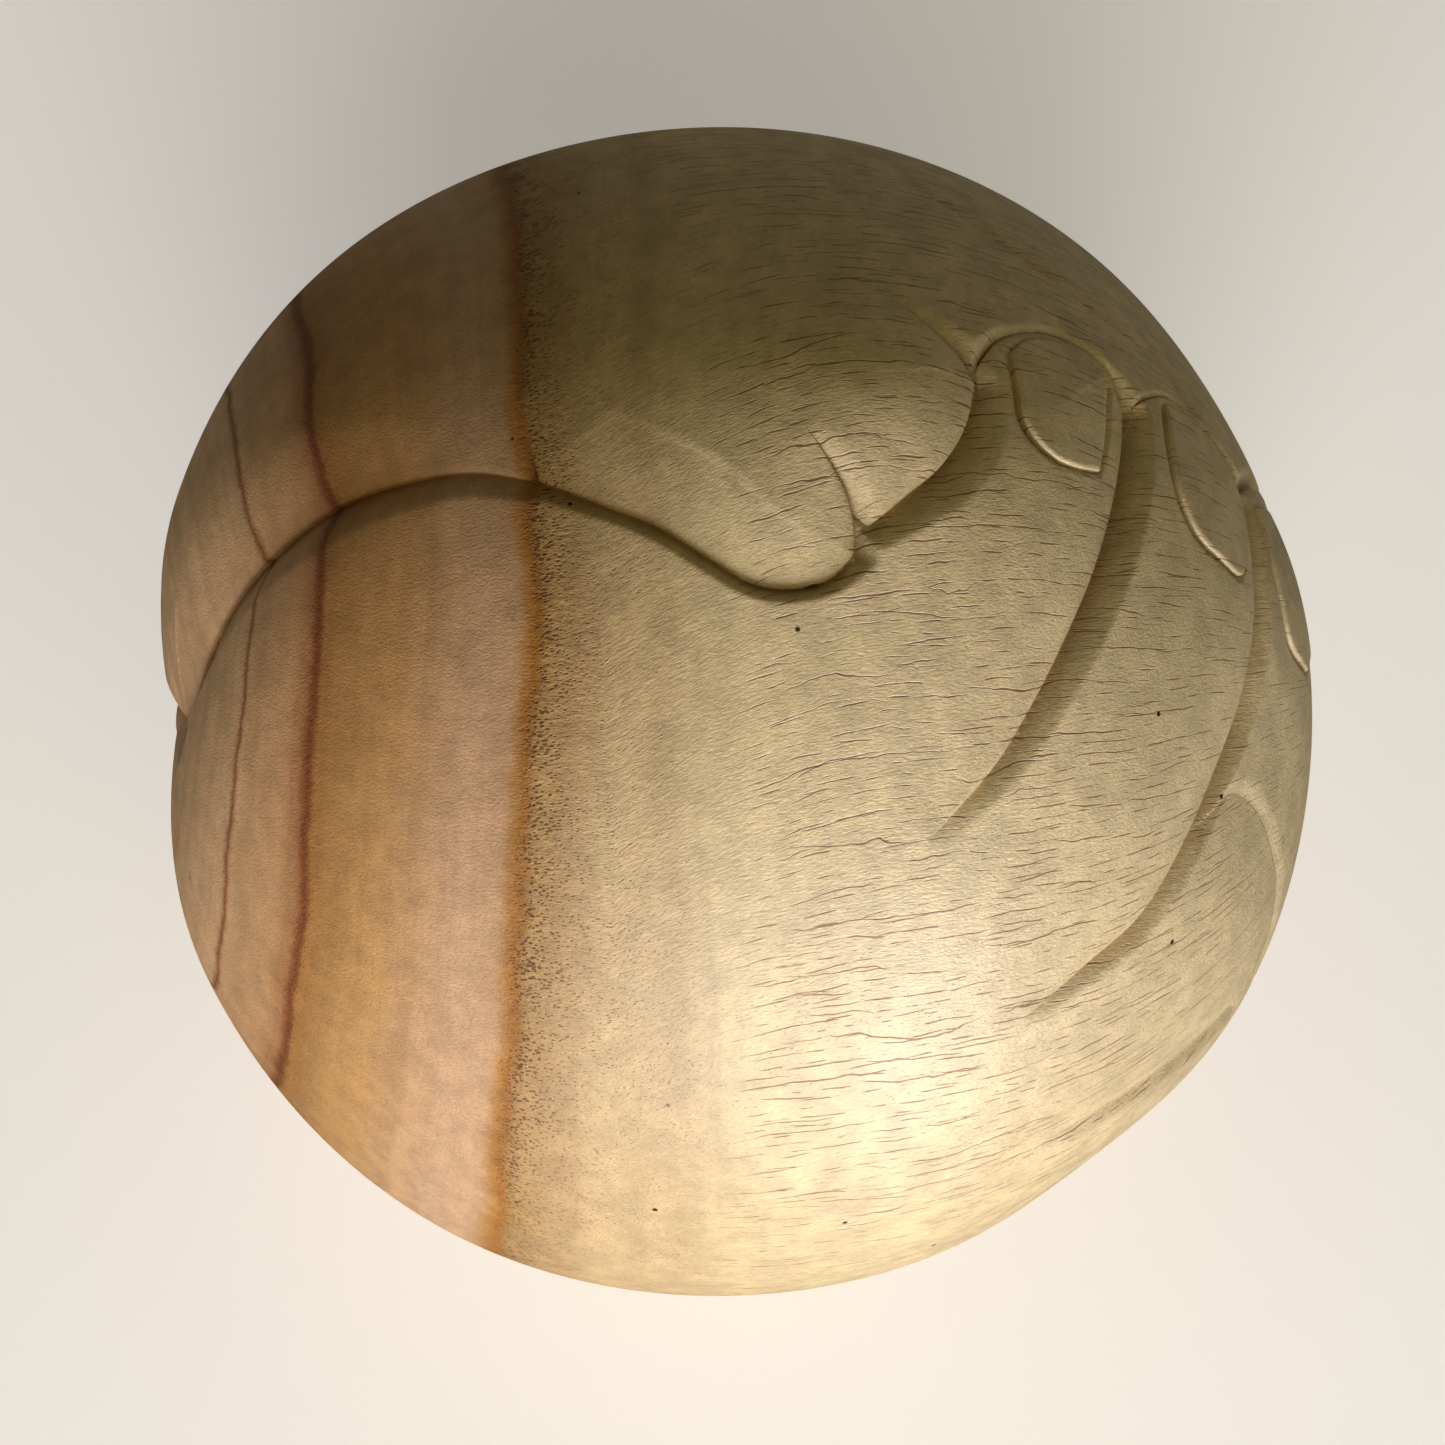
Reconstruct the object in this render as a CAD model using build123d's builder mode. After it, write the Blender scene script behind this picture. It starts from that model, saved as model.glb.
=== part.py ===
"""A ball of wood carved as two clasped hands, about 117 mm across.

The ball rests on a small flat foot. The left hand reaches over the top and its fingers point
down to the right. The right hand comes from below and its fingers point up to the right. The
forearms carry on round the back of the ball. Each carved member is one solid: a piece of the
ball's outer layer, from the round core out to the carved surface.

Frame: millimetres, +Z up, origin in the middle of the foot. The clasp faces forward and up,
towards -Y and +Z. A place on the ball is (right, up), in degrees of arc from the middle of the
clasp, so (0, 0) is the middle of the clasp and 180 degrees out is the point behind it.
"""
import os
from math import atan2, cos, hypot, radians, sin, sqrt

from build123d import *

os.makedirs("parts", exist_ok=True)

# Driving dimensions
BALL_R = 58.4            # the ball's outer radius
CORE_R = 49.0            # the round core that the carved layer sits on
FOOT_R = 18.0            # the flat foot's radius
CLASP_RISE = 75.0        # how far the clasp's middle is turned up from level, degrees
NAIL_DEPTH = 1.6         # how deep a nail's plate is let into its finger
NAIL_PROUD = 0.3         # how far a nail stands above the finger
WRIST_CREASE = (-70, -4)     # where the crease between the wrists passes out of the clasp
BACK_CREASE = (0, 165)       # where it crosses the back, clear of the foot
FOREARM_SINK = 0.8       # how far the forearms lie below the hands
WEDGE_IN = 0.25 * BALL_R     # a wedge runs from this far out from the ball's centre
WEDGE_OUT = 1.1 * BALL_R     # to this far

FOOT_DROP = sqrt(BALL_R**2 - FOOT_R**2)     # the ball's centre above the foot
CENTRE = Vector(0, 0, FOOT_DROP)
TOWARDS = Vector(0, -cos(radians(CLASP_RISE)), sin(radians(CLASP_RISE)))    # out of the clasp
RIGHT = Vector(1, 0, 0)
UP = TOWARDS.cross(RIGHT)

# Each member is bounded by sides, and each side is a smooth line of places that begins where the
# last one ends. Where a member is covered by one above it, its own side runs on underneath.
LEFT_INDEX = [
    [(-17, 21), (-6, 15), (2, 11), (6, 10.5), (10, 13)],
    [(10, 13), (10.5, 17), (7, 22)],
    [(7, 22), (-1, 29), (-11, 34), (-21, 35)],
    [(-21, 35), (-17, 21)],
]
LEFT_MIDDLE = [
    [(7, 13), (13, 16.5), (19, 22), (22, 30)],
    [(22, 30), (20, 33.5), (16, 36)],
    [(16, 36), (7, 42), (-3, 46), (-13, 48)],
    [(-13, 48), (-20, 32)],
    [(-20, 32), (-2, 22), (7, 13)],
]
LEFT_BACK = [
    [(-70, -4), (-63, 1), (-54, 12), (-46, 18), (-36, 21.5), (-25, 22), (-17, 21)],
    [(-17, 21), (-10, 26), (-6, 38), (2, 62)],
    [(2, 62), (-25, 78), (-58, 62), (-76, 30), (-70, -4)],
]
RIGHT_INDEX = [
    [(17, 27), (23, 30), (26, 35), (33, 38), (40, 36), (42, 31)],
    [(42, 31), (40, 23), (37, 15), (34, 8), (29, 2), (24, -4), (19, -10), (13, -14)],
    [(13, -14), (4, -10)],
    [(4, -10), (5, 6), (10, 20), (17, 27)],
]
RIGHT_MIDDLE = [
    [(38, 30), (45, 33.5), (50, 35), (56, 32.5), (61, 26)],
    [(61, 26), (61, 16), (59, 5), (55, -3), (50, -10), (44, -18), (36, -24.5), (24, -31)],
    [(24, -31), (15, -24), (9, -12)],
    [(9, -12), (24, 0), (36, 16), (38, 30)],
]
LEFT_RING = [
    [(12, 34), (24, 26), (40, 26), (54, 32)],
    [(54, 32), (47, 38), (38, 45), (30, 51), (22, 57), (12, 62)],
    [(12, 62), (0, 60), (-8, 44)],
    [(-8, 44), (12, 34)],
]
LEFT_LITTLE = [
    [(10, 58), (24, 50), (44, 38), (64, 22)],
    [(64, 22), (78, 34), (74, 50), (56, 67), (32, 78), (8, 80)],
    [(8, 80), (2, 68), (10, 58)],
]
RIGHT_LITTLE = [
    [(46, -8), (54, -8.5), (62, -12), (68, -20), (72, -30), (69, -38), (61, -41.5)],
    [(61, -41.5), (51, -45), (40, -48), (28, -52)],
    [(28, -52), (22, -42), (26, -24)],
    [(26, -24), (38, -12), (46, -8)],
]
RIGHT_RING = [
    [(56, 23), (65, 27.5), (73, 30), (84, 25), (92, 12), (96, -4), (95, -20), (88, -33)],
    [(88, -33), (70, -36), (56, -26), (50, -10)],
    [(50, -10), (55, 4), (56, 23)],
]
RIGHT_HEEL = [
    [(24, -48), (44, -44), (62, -34), (74, -30)],
    [(74, -30), (88, -38), (88, -52), (76, -68), (58, -77), (42, -72), (26, -58)],
    [(26, -58), (24, -48)],
]
RIGHT_BACK = [
    [(-71, -2), (-56, 16), (-36, 27), (-12, 26), (10, 18)],
    [(10, 18), (24, 6), (32, -14), (36, -40), (40, -66)],
    [(40, -66), (14, -78), (-16, -80), (-44, -66), (-64, -40), (-71, -20), (-71, -2)],
]
INDEX_NAIL = [
    [(27, 34), (27, 30), (27.5, 27), (29.5, 24.5), (33, 23.2), (36.5, 23)],
    [(36.5, 23), (38, 29), (39, 35)],
    [(39, 35), (33, 36.8), (27, 34)],
]
MIDDLE_NAIL = [
    [(49, 33.5), (48, 27), (48.5, 21), (52, 17.5), (57, 14)],
    [(57, 14), (59.5, 19), (59.8, 25)],
    [(59.8, 25), (55, 31.6), (49, 33.5)],
]
RING_NAIL = [
    [(67, 27), (66, 20), (66.5, 12), (70, 6), (76, 4)],
    [(76, 4), (82, 10), (82, 24)],
    [(82, 24), (75, 28.5), (67, 27)],
]


def outward(right, up):
    """The unit vector from the ball's centre to a place on the ball."""
    reach = radians(hypot(right, up))
    bearing = atan2(up, right)
    sideways = RIGHT * cos(bearing) + UP * sin(bearing)
    return TOWARDS * cos(reach) + sideways * sin(reach)


def wedge(sides):
    """A cone from the ball's centre through a member's outline, cut off inside the core and
    outside the ball. On a flat plane square to its middle each side is one spline."""
    places = [outward(*place) for side in sides for place in side[:-1]]
    middle = sum(places, Vector(0, 0, 0)).normalized()
    with BuildPart() as cone:
        for height in (WEDGE_IN, WEDGE_OUT):
            plane = Plane(origin=CENTRE + middle * height, x_dir=RIGHT.cross(middle), z_dir=middle)
            with BuildSketch(plane):
                with BuildLine():
                    for side in sides:
                        rays = [outward(*place) for place in side]
                        hits = [plane.to_local_coords(CENTRE + r * (height / r.dot(middle))) for r in rays]
                        flat = [(hit.X, hit.Y) for hit in hits]
                        if len(flat) == 2:
                            Line(*flat)
                        else:
                            Spline(*flat)
                make_face()
        loft(ruled=True)
    return cone.part


def ball(radius, lean=(0, 0), about=(0, 0)):
    """A ball about the centre. A lean of (right, up) millimetres moves it sideways at one place
    on the ball, so that the surface there stands proud on one side and sinks on the other."""
    out = outward(*about)
    up = (UP - out * UP.dot(out)).normalized()
    right = up.cross(out)
    with BuildPart(Plane(origin=CENTRE + right * lean[0] + up * lean[1])) as round_ball:
        Sphere(radius)
    return round_ball.part


def carved(name, sides, under=(), sunk=0.0, lean=(0, 0), about=(0, 0), nail=None):
    """One member of the carved layer: its wedge of the ball outside the core, less the wedges of
    the members that lie over it, and less the bed of its nail."""
    with BuildPart() as member:
        add(wedge(sides))
        add(ball(BALL_R - sunk, lean, about), mode=Mode.INTERSECT)
        add(core.part, mode=Mode.SUBTRACT)
        for cover in under:
            add(wedge(cover), mode=Mode.SUBTRACT)
        if nail:
            with BuildPart(mode=Mode.PRIVATE) as bed:
                add(wedge(nail))
                add(ball(BALL_R - sunk - NAIL_DEPTH, lean, about), mode=Mode.SUBTRACT)
            add(bed.part, mode=Mode.SUBTRACT)
    save(member.part, name)
    return member.part


def save(part, name):
    """Labels a finished piece and writes its STEP file."""
    part.label = name
    export_step(part, f"parts/{name}.step")
    print(name, len(part.solids()), "solid", round(part.volume), "mm3")


# The round core
with BuildPart(Plane(origin=CENTRE)) as core:
    Sphere(CORE_R)
save(core.part, "core_ball")

# The left hand's first two fingers and its back lie on top of everything else
left_index = carved("left_index_finger", LEFT_INDEX, lean=(4, -4), about=(-4, 24), sunk=0.4)

left_middle = carved(
    "left_middle_finger", LEFT_MIDDLE, under=[LEFT_INDEX], lean=(5, 1), about=(6, 32), sunk=0.9
)

left_back = carved("left_hand_back", LEFT_BACK, under=[LEFT_INDEX, LEFT_MIDDLE])

# The right hand's fingers come up from under the left hand
right_index = carved(
    "right_index_finger", RIGHT_INDEX, under=[LEFT_BACK, LEFT_INDEX, LEFT_MIDDLE],
    lean=(6, 1), about=(25, 16), sunk=1.6, nail=INDEX_NAIL,
)

right_middle = carved(
    "right_middle_finger", RIGHT_MIDDLE, under=[LEFT_INDEX, LEFT_MIDDLE, RIGHT_INDEX],
    lean=(5, 1), about=(46, 8), sunk=1.5, nail=MIDDLE_NAIL,
)

right_little = carved(
    "right_little_finger", RIGHT_LITTLE, under=[RIGHT_MIDDLE], lean=(3, -4), about=(52, -26), sunk=1.2
)

right_ring = carved(
    "right_ring_finger", RIGHT_RING, under=[RIGHT_MIDDLE, RIGHT_LITTLE],
    lean=(3, 0), about=(74, 4), sunk=1.6, nail=RING_NAIL,
)

# The left hand's other two fingers go down behind the right hand's fingertips
left_ring = carved(
    "left_ring_finger", LEFT_RING, under=[LEFT_MIDDLE, LEFT_BACK, RIGHT_INDEX, RIGHT_MIDDLE],
    lean=(2, 5), about=(24, 42), sunk=1.6,
)

left_little = carved(
    "left_little_finger", LEFT_LITTLE, under=[LEFT_RING, LEFT_BACK, RIGHT_MIDDLE, RIGHT_RING],
    lean=(2, 3), about=(40, 58), sunk=1.4,
)

right_heel = carved(
    "right_hand_heel", RIGHT_HEEL, under=[RIGHT_LITTLE, RIGHT_RING], lean=(1, -3), about=(60, -56), sunk=1.0
)

right_back = carved(
    "right_hand_back", RIGHT_BACK,
    under=[LEFT_BACK, LEFT_INDEX, LEFT_MIDDLE, RIGHT_INDEX, RIGHT_MIDDLE, RIGHT_LITTLE, RIGHT_HEEL],
    sunk=0.6,
)

# What is left of the layer is the two forearms, which meet along a crease round the back
MEMBERS = [
    LEFT_INDEX, LEFT_MIDDLE, LEFT_BACK, RIGHT_INDEX, RIGHT_MIDDLE, RIGHT_LITTLE, RIGHT_RING,
    LEFT_RING, LEFT_LITTLE, RIGHT_HEEL, RIGHT_BACK,
]
across = outward(*BACK_CREASE).cross(outward(*WRIST_CREASE)).normalized()    # towards the left forearm

for name, side in (("left_forearm", Keep.TOP), ("right_forearm", Keep.BOTTOM)):
    with BuildPart() as forearm:
        add(ball(BALL_R - FOREARM_SINK))
        split(bisect_by=Plane(origin=CENTRE, z_dir=across), keep=side)
        add(core.part, mode=Mode.SUBTRACT)
        for member in MEMBERS:
            add(wedge(member), mode=Mode.SUBTRACT)
        with Locations((0, 0, -BALL_R)):
            Box(4 * FOOT_R, 4 * FOOT_R, 2 * BALL_R, mode=Mode.SUBTRACT)    # cuts the foot flat
    save(forearm.part, name)

# The nails are thin plates let into the right hand's fingertips
for name, sides, lean, about, sunk in (
    ("right_index_nail", INDEX_NAIL, (6, 1), (25, 16), 1.6),
    ("right_middle_nail", MIDDLE_NAIL, (5, 1), (46, 8), 1.5),
    ("right_ring_nail", RING_NAIL, (3, 0), (74, 4), 1.6),
):
    with BuildPart() as nail:
        add(wedge(sides))
        add(ball(BALL_R - sunk + NAIL_PROUD, lean, about), mode=Mode.INTERSECT)
        add(ball(BALL_R - sunk - NAIL_DEPTH, lean, about), mode=Mode.SUBTRACT)
    save(nail.part, name)
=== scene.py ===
"""The looks of the carved wooden ball of clasped hands.

Each carved member is a smooth surface on its own grid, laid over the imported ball. A place on the
ball is (right, up), in degrees of arc from the middle of the clasp. Lengths inside the shape
functions are millimetres, and turn to metres when a mesh is made.
"""

import bmesh
import bpy
import numpy as np
from mathutils import Matrix, Vector


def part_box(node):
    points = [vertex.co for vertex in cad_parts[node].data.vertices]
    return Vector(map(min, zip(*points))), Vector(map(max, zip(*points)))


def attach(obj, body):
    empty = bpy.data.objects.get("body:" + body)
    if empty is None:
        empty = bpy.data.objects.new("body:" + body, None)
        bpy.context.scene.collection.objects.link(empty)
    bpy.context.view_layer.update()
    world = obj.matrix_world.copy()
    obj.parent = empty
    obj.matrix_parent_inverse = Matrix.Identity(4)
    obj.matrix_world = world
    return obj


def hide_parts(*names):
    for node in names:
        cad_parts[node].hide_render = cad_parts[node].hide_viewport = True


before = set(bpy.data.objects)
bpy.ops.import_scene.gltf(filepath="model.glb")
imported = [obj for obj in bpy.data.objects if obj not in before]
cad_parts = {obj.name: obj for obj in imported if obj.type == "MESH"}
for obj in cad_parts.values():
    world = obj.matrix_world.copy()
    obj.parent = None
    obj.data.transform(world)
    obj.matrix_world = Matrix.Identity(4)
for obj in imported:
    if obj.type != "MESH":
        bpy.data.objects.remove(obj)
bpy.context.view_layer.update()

MM = 0.001
BALL_R = 58.4            # the ball's outer radius
CLASP_RISE = 75.0        # how far the clasp's middle is turned up from level, degrees
INSIDE_R = 50.0          # how far in each member's underside lies
SHOULDER = 10.5          # how far in from its edge a member starts to fall away
EDGE = 0.12              # the share of each cut that the edge itself is rounded off by
LAP_SLOPE = 0.35         # how fast a member sinks where it runs on under the one above it
LAP_GAP = 0.006          # and how far under it stays at the edge
DEEPEST = 3.0            # the depth of cut at which the painted shade in the cuts is darkest
NAIL_RISE = 0.25         # how far the nails stand above the fingers
GRID = 0.4    # the size of a grid step
MOST_POINTS = 95000      # the most points in one grid

core_low, core_high = (np.array(corner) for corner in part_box("core_ball"))
CENTRE = (core_low + core_high) / 2 / MM
RISE = np.radians(CLASP_RISE)
TOWARDS = np.array([0, -np.cos(RISE), np.sin(RISE)])    # out of the clasp
RIGHT = np.array([1.0, 0, 0])
UP = np.array([0, np.sin(RISE), np.cos(RISE)])


# ---- places on the ball -----------------------------------------------------------------------

def outward(places):
    """Unit vectors from the ball's centre. The distance of a place from (0, 0) is its angle from
    the clasp's middle, and its bearing is kept."""
    reach = np.radians(np.hypot(places[..., 0], places[..., 1]))[..., None]
    bearing = np.arctan2(places[..., 1], places[..., 0])[..., None]
    return np.cos(reach) * TOWARDS + np.sin(reach) * (np.cos(bearing) * RIGHT + np.sin(bearing) * UP)


def place_of(way):
    """The place (right, up) that each unit vector points at: outward turned round."""
    reach = np.degrees(np.arccos(np.clip(way @ TOWARDS, -1, 1)))
    bearing = np.arctan2(way @ UP, way @ RIGHT)
    return np.stack([reach * np.cos(bearing), reach * np.sin(bearing)], axis=-1)


def smooth_line(points, step):
    """A smooth line through the points: between two points it is a cubic whose slopes come from
    the neighbouring points. It is sampled about every `step` along its first two columns."""
    points = np.array(points, float)
    gaps = np.hypot(*np.diff(points[:, :2], axis=0).T)
    along = np.concatenate([[0], np.cumsum(np.sqrt(gaps))])
    slopes = np.gradient(points, along, axis=0)
    count = max(2, int(round(gaps.sum() / step)) + 1)
    s = np.linspace(0, along[-1], count)
    k = np.clip(np.searchsorted(along, s, "right") - 1, 0, len(points) - 2)
    h = (along[k + 1] - along[k])[:, None]
    x = (s[:, None] - along[k][:, None]) / h
    return (
        (2 * x**3 - 3 * x**2 + 1) * points[k] + (x**3 - 2 * x**2 + x) * h * slopes[k]
        + (3 * x**2 - 2 * x**3) * points[k + 1] + (x**3 - x**2) * h * slopes[k + 1]
    )


def closed_loop(sides):
    """The whole outline of a member: its sides end to end, each one a smooth line."""
    return np.concatenate([smooth_line(side, 0.3)[:-1] for side in sides])


def nearest(way, loop, closed=True):
    """For each direction: the distance over the ball to the line, in millimetres, and the values
    that the line carries at its nearest point."""
    line = outward(loop[:, :2])
    near = np.concatenate([np.argmax(part @ line.T, axis=1) for part in np.array_split(way, 16)])
    last = len(loop) - 1
    best = np.full(len(way), 1e9)
    carried = np.zeros((len(way), loop.shape[1] - 2))
    for step in (-1, 1):
        other = (near + step) % len(loop) if closed else np.clip(near + step, 0, last)
        a, b = line[near], line[other]
        ab = b - a
        x = np.clip(np.sum((way - a) * ab, axis=1) / np.maximum(np.sum(ab * ab, axis=1), 1e-12), 0, 1)
        gap = np.linalg.norm(way - a - x[:, None] * ab, axis=1) * BALL_R
        nearer = gap < best
        best = np.where(nearer, gap, best)
        values = loop[near, 2:] * (1 - x[:, None]) + loop[other, 2:] * x[:, None]
        carried = np.where(nearer[:, None], values, carried)
    return best, carried


def inside(places, loop):
    """Whether each place is inside a closed loop: a line drawn to the right crosses it an odd
    number of times."""
    x0, y0 = loop[:, 0], loop[:, 1]
    x1, y1 = np.roll(x0, -1), np.roll(y0, -1)
    slope = (x1 - x0) / np.where(y1 == y0, 1e-9, y1 - y0)
    crossings = []
    for part in np.array_split(places, 16):
        px, py = part[:, :1], part[:, 1:2]
        spans = (y0 > py) != (y1 > py)
        crossings.append(np.sum(spans & (px < x0 + (py - y0) * slope), axis=1))
    return np.concatenate(crossings) % 2 == 1


# ---- the carved members -----------------------------------------------------------------------
# Each side is a smooth line of (right, up, cut, reach) that begins where the last one ends. The cut
# is how deep the neighbours dip beside the member there, and the reach how far out the dip starts,
# in millimetres. Where a member is covered, its side runs on beneath.

LEFT_INDEX = [
    [
        (-17, 20.3, 1, 1.8), (-11.4, 17.9, 1.3, 1.5), (-6.3, 15.7, 1.6, 1.4), (-1.7, 12.8, 1.8, 1.4),
        (2.1, 10.6, 2, 1.4), (5.5, 10.2, 2.1, 1.4), (8.6, 11, 2.1, 1.5), (10.6, 13, 2, 2),
    ],
    [
        (10.6, 13, 2, 2), (10.6, 15, 1.9, 2.2), (9.9, 17.6, 1.4, 2.2), (8.3, 20.3, 0.6, 2),
        (6.5, 22.8, 0, 1.5), (5.5, 24.2, 0, 1.5),
    ],
    [(5.5, 24.2, 0, 1.5), (-1, 29, 0, 1.5), (-11, 34, 0, 1.5), (-21, 35, 0, 1.5)],
    [(-21, 35, 0, 1.5), (-19, 28, 0, 1.5), (-17, 20.3, 1, 1.8)],
]
LEFT_MIDDLE = [
    [
        (7, 12, 0, 2), (10.4, 14.4, 1.2, 2.2), (12.6, 16, 1.9, 2.8), (15.4, 18.4, 2.2, 3.4),
        (18.3, 20.9, 2.3, 3.8), (20.9, 24.8, 2.3, 3.8), (22.4, 29.4, 2.1, 3),
    ],
    [
        (22.4, 29.4, 2.1, 3), (21.2, 31.6, 1.7, 2.5), (19.2, 33.5, 1.2, 2.2),
        (16.4, 35.6, 0.5, 1.8), (14, 37.2, 0, 1.5),
    ],
    [(14, 37.2, 0, 1.5), (7, 42, 0, 1.5), (-3, 46, 0, 1.5), (-13, 48, 0, 1.5)],
    [(-13, 48, 0, 1.5), (-20, 32, 0, 1.5)],
    [(-20, 32, 0, 1.5), (-2, 22, 0, 2), (7, 12, 0, 2)],
]
LEFT_BACK = [
    [
        (-72, -3, 1.4, 3.5), (-65, 4.5, 1.5, 3.6), (-57.4, 11.2, 1.6, 4), (-52, 15, 1.7, 4.4),
        (-44.3, 18.9, 1.7, 4.6), (-38.2, 20.9, 1.6, 4.4), (-30, 22, 1.4, 3.6),
        (-23.4, 21.8, 1.2, 2.8), (-17, 20.3, 1, 2.2),
    ],
    [(-17, 20.3, 1, 2.2), (-10, 26, 0, 1.5), (-6, 38, 0, 1.5), (2, 62, 0, 1.5)],
    [
        (2, 62, 0, 1.5), (-25, 78, 0, 1.5), (-58, 62, 0, 1.5), (-76, 30, 0, 1.5), (-75, 8, 0, 1.5),
        (-72, -3, 1.4, 3.5),
    ],
]
RIGHT_INDEX = [
    [
        (17, 24, 2, 2), (21.2, 28.4, 2, 2), (23.7, 32.6, 1.8, 1.6), (25.9, 35.3, 1.3, 0.9),
        (29, 37.1, 0.9, 0.6), (32.7, 38.1, 0.8, 0.5), (36.9, 37.6, 0.8, 0.5),
        (40.3, 35.4, 1.2, 0.9), (42, 31.4, 2.4, 2.8),
    ],
    [
        (42, 31.4, 2.4, 2.8), (40.8, 27, 2.6, 3.2), (38.4, 20.4, 2.8, 3.3), (35.2, 13.2, 2.8, 3.2),
        (31.6, 6.6, 2.6, 3), (28.2, 0.9, 2.2, 2.7), (24.2, -4.9, 1.5, 2.3), (20, -9.2, 0.6, 1.8),
        (17.5, -11.6, 0, 1.5),
    ],
    [(17.5, -11.6, 0, 1.5), (13, -14, 0, 1.5), (4, -10, 0, 1.5)],
    [(4, -10, 0, 1.5), (5, 6, 0, 1.5), (10, 18, 0, 1.5), (17, 24, 2, 2)],
]
RIGHT_MIDDLE = [
    [
        (38, 29, 2, 2), (42.6, 31.8, 1.2, 0.8), (45.2, 33.4, 0.9, 0.6), (49, 34.7, 0.8, 0.5),
        (54.2, 32.9, 0.8, 0.5), (59.1, 29.4, 1.2, 0.9), (61.9, 24.9, 2.2, 2.2),
    ],
    [
        (61.9, 24.9, 2.2, 2.2), (61.2, 17.2, 2.6, 2.3), (60.6, 11.9, 2.7, 2.4), (59.2, 6, 2.8, 2.5),
        (56.8, -0.8, 2.8, 2.6), (52.2, -8.1, 2.7, 2.6), (47.4, -14.5, 2.5, 2.5),
        (41.8, -21.1, 2.1, 2.3), (35.5, -25.3, 1.6, 2), (31.1, -28.4, 0.9, 1.7), (28.5, -30, 0, 1.5),
    ],
    [(28.5, -30, 0, 1.5), (24, -31, 0, 1.5), (15, -24, 0, 1.5), (9, -12, 0, 1.5)],
    [(9, -12, 0, 1.5), (24, 0, 0, 1.5), (36, 16, 0, 1.5), (38, 29, 2, 2)],
]
LEFT_RING = [
    [(12, 34, 0, 2), (24, 26, 0, 2), (40, 26, 0, 2), (54, 31, 0.6, 2)],
    [
        (54, 31, 0.6, 2), (50, 39.5, 0.5, 1.6), (41.4, 43.8, 0.45, 1.6), (33.2, 48.8, 0.4, 1.6),
        (26, 55, 0.3, 1.5), (20.4, 60.6, 0.1, 1.5), (12, 64, 0, 1.5),
    ],
    [(12, 64, 0, 1.5), (0, 60, 0, 1.5), (-8, 44, 0, 1.5)],
    [(-8, 44, 0, 1.5), (12, 34, 0, 2)],
]
LEFT_LITTLE = [
    [(10, 58, 0, 2), (24, 50, 0, 2), (44, 38, 0, 2), (64, 22, 0, 2)],
    [
        (64, 22, 0, 2), (78, 34, 0.5, 2), (74, 50, 0.4, 2), (56, 67, 0, 2), (32, 78, 0, 2),
        (8, 80, 0, 2),
    ],
    [(8, 80, 0, 2), (2, 68, 0, 2), (10, 58, 0, 2)],
]
RIGHT_LITTLE = [
    [
        (46, -8, 0.3, 1.4), (52, -9.6, 0.3, 1.5), (56, -9.2, 0.3, 1.5), (60, -10.4, 0.3, 1.5),
        (63.7, -13.4, 0.3, 1.5), (66.4, -17.2, 0.3, 1.5), (69.4, -22, 0.3, 1.5),
        (71.5, -28, 0.3, 1.5), (71.5, -34.5, 0.3, 1.5), (67, -39.4, 0.6, 1.4),
    ],
    [
        (67, -39.4, 0.6, 1.4), (61.2, -41.6, 0.8, 1.4), (50.8, -44.8, 0.9, 1.4),
        (42.9, -47, 0.8, 1.4), (33.1, -50.2, 0.4, 1.4), (28, -52, 0, 1.5),
    ],
    [(28, -52, 0, 1.5), (22, -42, 0, 1.5), (26, -24, 0, 1.5)],
    [(26, -24, 0, 1.5), (38, -12, 0, 1.5), (46, -8, 0.3, 1.4)],
]
RIGHT_RING = [
    [
        (56, 23, 1, 2), (65, 27.5, 2, 2), (73, 30, 2, 2), (84, 25, 1.6, 2), (92, 12, 1, 2),
        (96, -4, 1, 2), (95, -20, 1, 2), (88, -33, 1, 2),
    ],
    [(88, -33, 1, 2), (70, -36, 0, 2), (56, -26, 0, 2), (50, -10, 0, 2)],
    [(50, -10, 0, 2), (55, 4, 0, 2), (56, 23, 1, 2)],
]
RIGHT_HEEL = [
    [(24, -48, 0, 2), (44, -44, 0, 2), (62, -34, 0, 2), (74, -30, 0, 2)],
    [
        (74, -30, 0, 2), (88, -38, 0.8, 3), (88, -52, 0.8, 3), (76, -68, 0.5, 3), (58, -77, 0, 2),
        (42, -72, 0, 2), (26, -58, 0, 2),
    ],
    [(26, -58, 0, 2), (24, -48, 0, 2)],
]
RIGHT_BACK = [
    [(-73, -1, 0, 2), (-56, 16, 0, 2), (-36, 27, 0, 2), (-12, 26, 0, 2), (10, 18, 0, 2)],
    [(10, 18, 0, 2), (24, 6, 0, 2), (32, -14, 0, 2), (36, -40, 0, 2), (40, -66, 0, 2)],
    [
        (40, -66, 0, 2), (14, -78, 0, 2), (-16, -80, 0, 2), (-44, -66, 0, 2), (-64, -40, 0, 2),
        (-72, -20, 0, 2), (-73, -1, 0, 2),
    ],
]
INDEX_NAIL = [
    [
        (26.9, 34, 0.5, 0.8), (26.9, 29.7, 1, 0.9), (26.9, 26.6, 1, 0.9), (27.8, 24.7, 0.9, 0.8),
        (30, 23.1, 0.7, 0.6), (32.6, 22.7, 0.6, 0.5), (36, 23, 0.6, 0.5),
    ],
    [(36, 23, 0.6, 0.5), (37.4, 26.9, 0.9, 0.8), (38.6, 31.2, 0.9, 0.9), (39.2, 33.8, 0.7, 0.8)],
    [
        (39.2, 33.8, 0.7, 0.8), (36.4, 36.1, 0.2, 0.5), (32.5, 36.8, 0.1, 0.5),
        (29, 35.8, 0.2, 0.5), (26.9, 34, 0.5, 0.8),
    ],
]
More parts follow.
